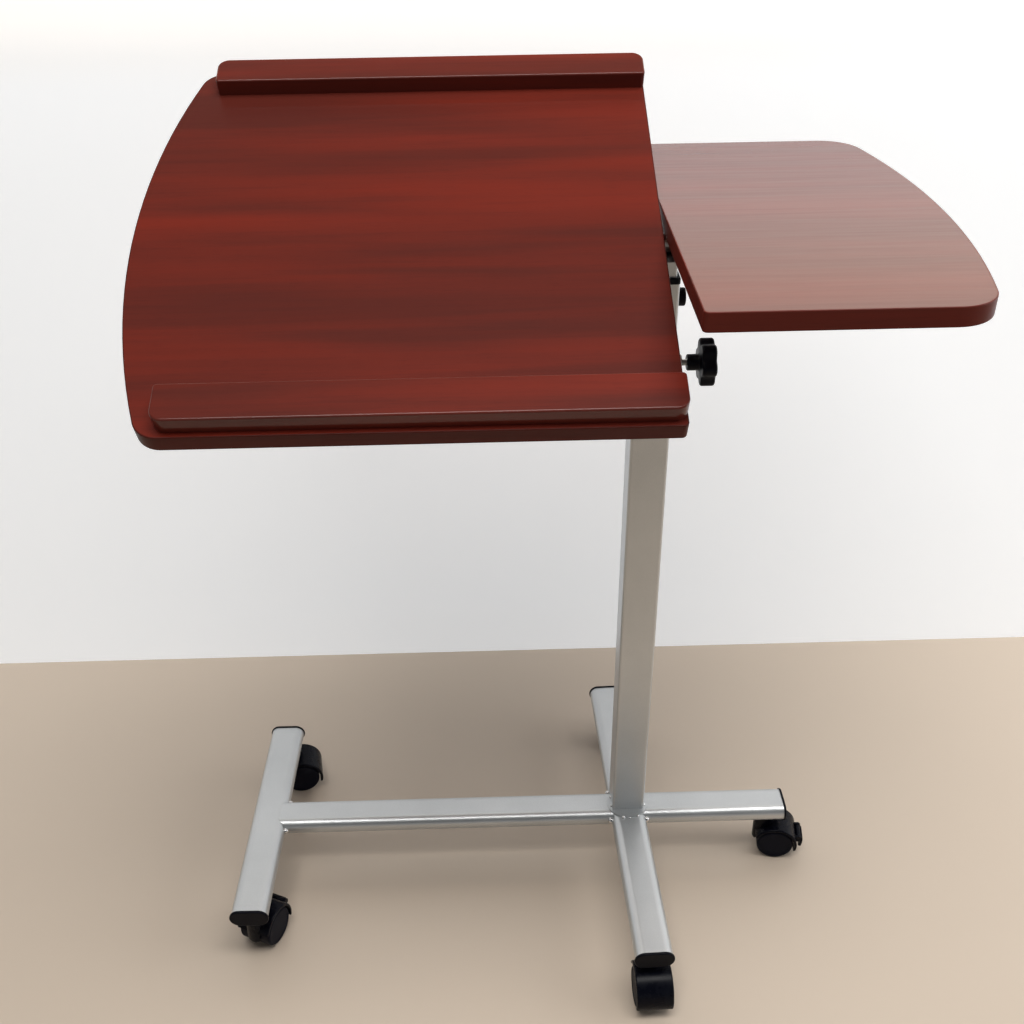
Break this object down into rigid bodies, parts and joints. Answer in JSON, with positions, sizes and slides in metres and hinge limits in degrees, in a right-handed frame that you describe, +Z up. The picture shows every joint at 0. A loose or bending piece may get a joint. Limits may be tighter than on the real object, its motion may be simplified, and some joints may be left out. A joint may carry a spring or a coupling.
{
  "type": "overbed table",
  "caption": "Rolling overbed table with a tilting main top and a level side top on a telescopic square column and a flat-oval tube base on swivel casters.",
  "frame": {"origin": "on the floor, under the centre of the whole table's bounding box, as it stands in the rest pose", "axes": "+X along the long rail, from the left foot towards the side top; +Y to the rear, the edge of the main top that is raised; +Z up"},
  "size_m": [0.65, 0.424, 0.8338],
  "materials": {
    "silver_paint": "semi-gloss silver-grey powder coat with a fine texture",
    "zinc_steel": "zinc-plated steel",
    "weld_steel": "bright weld metal under clear silver paint",
    "black_plastic": "satin moulded black plastic",
    "caster_plastic": "glossy moulded black nylon",
    "caster_tread": "matte black wheel plastic",
    "white_nylon": "natural nylon",
    "cherry_laminate": "dark cherry wood-grain laminate on chipboard, glossy",
    "cherry_edge": "dark red-brown wood, glossy, rounded arrises"
  },
  "bodies": {
    "base": {"left_foot_tube": "silver_paint", "rail_tube": "silver_paint", "front_foot_tube": "silver_paint", "rear_foot_tube": "silver_paint", "foot_end_caps": "black_plastic", "stem_nuts": "zinc_steel", "caster_stems": "zinc_steel", "outer_column": "silver_paint", "column_collar": "black_plastic", "collar_screw": "black_plastic", "height_nut": "zinc_steel", "weld_beads": "weld_steel"},
    "mast": {"inner_column": "silver_paint", "inner_glide": "white_nylon", "head_bracket": "silver_paint", "pivot_tube": "zinc_steel", "pivot_tube_cap": "black_plastic", "tilt_bolt": "zinc_steel", "side_arm": "silver_paint", "side_arm_cap": "black_plastic", "side_support_plates": "silver_paint", "side_top": "cherry_laminate", "side_top_edge_band": "cherry_edge", "side_top_screws": "zinc_steel"},
    "tilting_top": {"main_top": "cherry_laminate", "main_top_edge_band": "cherry_edge", "rear_ledge": "cherry_edge", "front_ledge": "cherry_edge", "ledge_screws": "zinc_steel", "hinge_straps": "zinc_steel", "hinge_saddles": "white_nylon", "tilt_quadrant": "silver_paint", "main_top_screws": "zinc_steel"},
    "height_clamp": {"height_pad": "white_nylon"},
    "height_knob": {"height_knob": "black_plastic", "height_stud": "zinc_steel"},
    "tilt_clamp": {"tilt_washer": "zinc_steel"},
    "tilt_knob": {"tilt_knob": "black_plastic"},
    "caster_right_swivel": {"caster_right_housing": "caster_plastic", "caster_right_axle": "zinc_steel"},
    "caster_right_left_wheel": {"caster_right_left_wheel": "caster_tread"},
    "caster_right_right_wheel": {"caster_right_right_wheel": "caster_tread"},
    "caster_right_brake": {"caster_right_brake_lever": "caster_plastic"},
    "caster_front_swivel": {"caster_front_housing": "caster_plastic", "caster_front_axle": "zinc_steel"},
    "caster_front_left_wheel": {"caster_front_left_wheel": "caster_tread"},
    "caster_front_right_wheel": {"caster_front_right_wheel": "caster_tread"},
    "caster_rear_swivel": {"caster_rear_housing": "caster_plastic", "caster_rear_axle": "zinc_steel"},
    "caster_rear_left_wheel": {"caster_rear_left_wheel": "caster_tread"},
    "caster_rear_right_wheel": {"caster_rear_right_wheel": "caster_tread"},
    "caster_left_front_swivel": {"caster_left_front_housing": "caster_plastic", "caster_left_front_axle": "zinc_steel"},
    "caster_left_front_left_wheel": {"caster_left_front_left_wheel": "caster_tread"},
    "caster_left_front_right_wheel": {"caster_left_front_right_wheel": "caster_tread"},
    "caster_left_front_brake": {"caster_left_front_brake_lever": "caster_plastic"},
    "caster_left_rear_swivel": {"caster_left_rear_housing": "caster_plastic", "caster_left_rear_axle": "zinc_steel"},
    "caster_left_rear_left_wheel": {"caster_left_rear_left_wheel": "caster_tread"},
    "caster_left_rear_right_wheel": {"caster_left_rear_right_wheel": "caster_tread"}
  },
  "joints": [
    {"name": "height_slide", "type": "slide", "parent": "base", "child": "mast", "axis": [0, 0, 1], "range_m": [0, 0.25]},
    {"name": "top_tilt", "type": "hinge", "parent": "mast", "child": "tilting_top", "pos_m": [-0.103, 0.018, 0.716], "axis": [1, 0, 0], "range_deg": [-24.5, 15.5]},
    {"name": "height_clamp_slide", "type": "slide", "parent": "base", "child": "height_clamp", "axis": [1, 0, 0], "range_m": [0, 0.00125]},
    {"name": "height_knob_turn", "type": "hinge", "parent": "height_clamp", "child": "height_knob", "pos_m": [0.139, 0.009, 0.611], "axis": [1, 0, 0], "range_deg": [0, 450]},
    {"name": "tilt_clamp_slide", "type": "slide", "parent": "mast", "child": "tilt_clamp", "axis": [-1, 0, 0], "range_m": [0, 0.00125]},
    {"name": "tilt_knob_turn", "type": "hinge", "parent": "tilt_clamp", "child": "tilt_knob", "pos_m": [0.061, 0.066, 0.7], "axis": [-1, 0, 0], "range_deg": [0, 450]},
    {"name": "caster_right_swivel", "type": "hinge", "parent": "base", "child": "caster_right_swivel", "pos_m": [0.253, 0.002, 0.05], "axis": [0, 0, 1], "continuous": true},
    {"name": "caster_right_left_roll", "type": "hinge", "parent": "caster_right_swivel", "child": "caster_right_left_wheel", "pos_m": [0.26686, 0.00005, 0.02], "axis": [0.1392, 0.9903, 0], "continuous": true},
    {"name": "caster_right_right_roll", "type": "hinge", "parent": "caster_right_swivel", "child": "caster_right_right_wheel", "pos_m": [0.26686, 0.00005, 0.02], "axis": [0.1392, 0.9903, 0], "continuous": true},
    {"name": "caster_right_brake", "type": "hinge", "parent": "caster_right_swivel", "child": "caster_right_brake", "pos_m": [0.29302, -0.00362, 0.02561], "axis": [0.1392, 0.9903, 0], "range_deg": [0, 12]},
    {"name": "caster_front_swivel", "type": "hinge", "parent": "base", "child": "caster_front_swivel", "pos_m": [0.1029, -0.1759, 0.05], "axis": [0, 0, 1], "continuous": true},
    {"name": "caster_front_left_roll", "type": "hinge", "parent": "caster_front_swivel", "child": "caster_front_left_wheel", "pos_m": [0.10339, -0.18989, 0.02], "axis": [0.9994, 0.0349, 0], "continuous": true},
    {"name": "caster_front_right_roll", "type": "hinge", "parent": "caster_front_swivel", "child": "caster_front_right_wheel", "pos_m": [0.10339, -0.18989, 0.02], "axis": [0.9994, 0.0349, 0], "continuous": true},
    {"name": "caster_rear_swivel", "type": "hinge", "parent": "base", "child": "caster_rear_swivel", "pos_m": [0.09123, 0.1759, 0.05], "axis": [0, 0, 1], "continuous": true},
    {"name": "caster_rear_left_roll", "type": "hinge", "parent": "caster_rear_swivel", "child": "caster_rear_left_wheel", "pos_m": [0.10523, 0.1759, 0.02], "axis": [0, 1, 0], "continuous": true},
    {"name": "caster_rear_right_roll", "type": "hinge", "parent": "caster_rear_swivel", "child": "caster_rear_right_wheel", "pos_m": [0.10523, 0.1759, 0.02], "axis": [0, 1, 0], "continuous": true},
    {"name": "caster_left_front_swivel", "type": "hinge", "parent": "base", "child": "caster_left_front_swivel", "pos_m": [-0.30261, -0.11299, 0.05], "axis": [0, 0, 1], "continuous": true},
    {"name": "caster_left_front_left_roll", "type": "hinge", "parent": "caster_left_front_swivel", "child": "caster_left_front_left_wheel", "pos_m": [-0.29713, -0.1001, 0.02], "axis": [-0.9205, 0.3907, 0], "continuous": true},
    {"name": "caster_left_front_right_roll", "type": "hinge", "parent": "caster_left_front_swivel", "child": "caster_left_front_right_wheel", "pos_m": [-0.29713, -0.1001, 0.02], "axis": [-0.9205, 0.3907, 0], "continuous": true},
    {"name": "caster_left_front_brake", "type": "hinge", "parent": "caster_left_front_swivel", "child": "caster_left_front_brake", "pos_m": [-0.28682, -0.07579, 0.02561], "axis": [-0.9205, 0.3907, 0], "range_deg": [0, 12]},
    {"name": "caster_left_rear_swivel", "type": "hinge", "parent": "base", "child": "caster_left_rear_swivel", "pos_m": [-0.29937, 0.11899, 0.05], "axis": [0, 0, 1], "continuous": true},
    {"name": "caster_left_rear_left_roll", "type": "hinge", "parent": "caster_left_rear_swivel", "child": "caster_left_rear_left_wheel", "pos_m": [-0.28558, 0.12142, 0.02], "axis": [-0.1736, 0.9848, 0], "continuous": true},
    {"name": "caster_left_rear_right_roll", "type": "hinge", "parent": "caster_left_rear_swivel", "child": "caster_left_rear_right_wheel", "pos_m": [-0.28558, 0.12142, 0.02], "axis": [-0.1736, 0.9848, 0], "continuous": true}
  ],
  "couplings": [
    {"joint": "height_clamp_slide", "follows": "height_knob_turn", "m_per_rad": 0.00015915},
    {"joint": "tilt_clamp_slide", "follows": "tilt_knob_turn", "m_per_rad": 0.00015915}
  ]
}
